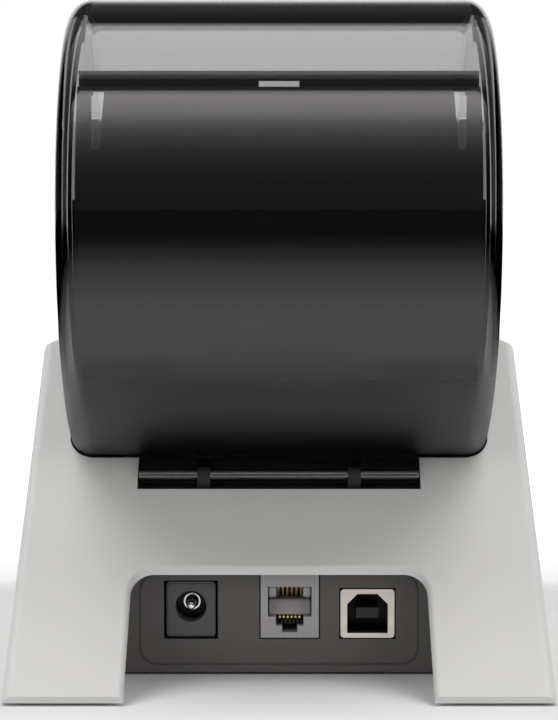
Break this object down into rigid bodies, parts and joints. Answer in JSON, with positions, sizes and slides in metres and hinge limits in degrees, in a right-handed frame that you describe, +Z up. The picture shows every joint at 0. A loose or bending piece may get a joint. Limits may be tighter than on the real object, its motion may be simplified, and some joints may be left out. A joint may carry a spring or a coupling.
{
  "type": "thermal label printer",
  "caption": "Desktop thermal label printer with a sloped pale casing, a hinged smoked roll hood, a geared print mechanism and rear power, modular and data sockets.",
  "frame": {"origin": "on the floor, under the middle of the casing's width and depth", "axes": "+Z up; +Y towards the rear, where the sockets are; +X to the left of the rear view"},
  "size_m": [0.1164, 0.178, 0.1537],
  "materials": {
    "casing_plastic": "fine texture",
    "dark_grey_plastic": "fine texture",
    "smoked_plastic": "polished",
    "black_plastic": "satin",
    "foot_rubber": "matte",
    "screw_steel": "zinc plated",
    "circuit_board": "solder mask",
    "black_socket_plastic": "moulded",
    "capacitor_can": "sleeved",
    "grey_socket_plastic": "moulded",
    "plated_steel": "nickel plated",
    "gold_contact": "gold flash",
    "bright_steel": "ground",
    "grey_plastic": "moulded",
    "platen_rubber": "ground",
    "white_plastic": "natural acetal",
    "pinion_brass": "hobbed",
    "motor_can": "plated",
    "head_ceramic": "glazed line",
    "button_plastic": "fine texture",
    "lens_plastic": "clear"
  },
  "bodies": {
    "base": {"main_casing": "casing_plastic", "front_cover": "casing_plastic", "bottom_plate": "dark_grey_plastic", "connector_panel": "dark_grey_plastic", "hinge_bracket": "dark_grey_plastic", "roll_tub": "black_plastic", "rubber_feet": "foot_rubber", "case_screws": "screw_steel", "board_screws": "screw_steel", "mech_screws": "screw_steel", "motor_screws": "screw_steel", "main_board": "circuit_board", "button_board": "circuit_board", "board_chips": "black_socket_plastic", "dc_jack": "black_socket_plastic", "data_jack_insert": "black_socket_plastic", "capacitors": "capacitor_can", "modular_jack": "grey_socket_plastic", "dc_jack_contacts": "plated_steel", "data_jack_shell": "plated_steel", "modular_jack_contacts": "gold_contact", "hinge_pin": "bright_steel", "head_pivot_pin": "bright_steel", "upper_idler_stud": "bright_steel", "lower_idler_stud": "bright_steel", "head_springs": "bright_steel", "tear_bar": "bright_steel", "mech_plate_left": "bright_steel", "mech_plate_right": "bright_steel", "platen_bushes": "white_plastic", "motor": "motor_can", "status_lens": "lens_plastic"},
    "hood": {"hood": "smoked_plastic", "hood_liner": "black_plastic"},
    "spool": {"spool_core": "grey_plastic", "spool_flange": "grey_plastic"},
    "platen": {"platen_roller": "platen_rubber", "platen_shaft": "bright_steel", "platen_gear": "white_plastic"},
    "upper_idler": {"upper_idler_gear": "white_plastic"},
    "lower_idler": {"lower_idler_gear": "white_plastic"},
    "pinion": {"motor_pinion": "pinion_brass", "motor_shaft": "bright_steel"},
    "head": {"head_carrier": "grey_plastic", "print_head": "head_ceramic"},
    "feed_button": {"feed_button": "button_plastic"},
    "power_button": {"power_button": "button_plastic"}
  },
  "joints": [
    {"name": "hood_hinge", "type": "hinge", "parent": "base", "child": "hood", "pos_m": [0, 0.0352, 0.0429], "axis": [-1, 0, 0], "range_deg": [0, 65]},
    {"name": "spool_spin", "type": "hinge", "parent": "base", "child": "spool", "pos_m": [0, 0.016, 0.102], "axis": [1, 0, 0], "continuous": true},
    {"name": "platen_spin", "type": "hinge", "parent": "base", "child": "platen", "pos_m": [0, -0.055, 0.112], "axis": [1, 0, 0], "continuous": true},
    {"name": "upper_idler_spin", "type": "hinge", "parent": "base", "child": "upper_idler", "pos_m": [0, -0.05138, 0.09848], "axis": [1, 0, 0], "continuous": true},
    {"name": "lower_idler_spin", "type": "hinge", "parent": "base", "child": "lower_idler", "pos_m": [0, -0.05527, 0.08213], "axis": [1, 0, 0], "continuous": true},
    {"name": "pinion_spin", "type": "hinge", "parent": "base", "child": "pinion", "pos_m": [0, -0.05468, 0.06955], "axis": [1, 0, 0], "continuous": true},
    {"name": "head_pivot", "type": "hinge", "parent": "base", "child": "head", "pos_m": [0, -0.0448, 0.098], "axis": [-1, 0, 0], "range_deg": [0, 4], "stiffness_Nm_per_rad": 0.5, "springref_deg": -5.73, "deforming": ["head_springs"]},
    {"name": "feed_press", "type": "slide", "parent": "base", "child": "feed_button", "axis": [0, 0.977, -0.2132], "range_m": [0, 0.0008], "stiffness_N_per_m": 300, "springref_m": -0.0005},
    {"name": "power_press", "type": "slide", "parent": "base", "child": "power_button", "axis": [0, 0.977, -0.2132], "range_m": [0, 0.0008], "stiffness_N_per_m": 300, "springref_m": -0.0005}
  ],
  "couplings": [
    {"joint": "upper_idler_spin", "follows": "platen_spin", "ratio": -0.66667},
    {"joint": "lower_idler_spin", "follows": "platen_spin", "ratio": 0.66667},
    {"joint": "pinion_spin", "follows": "platen_spin", "ratio": -1.3333}
  ]
}
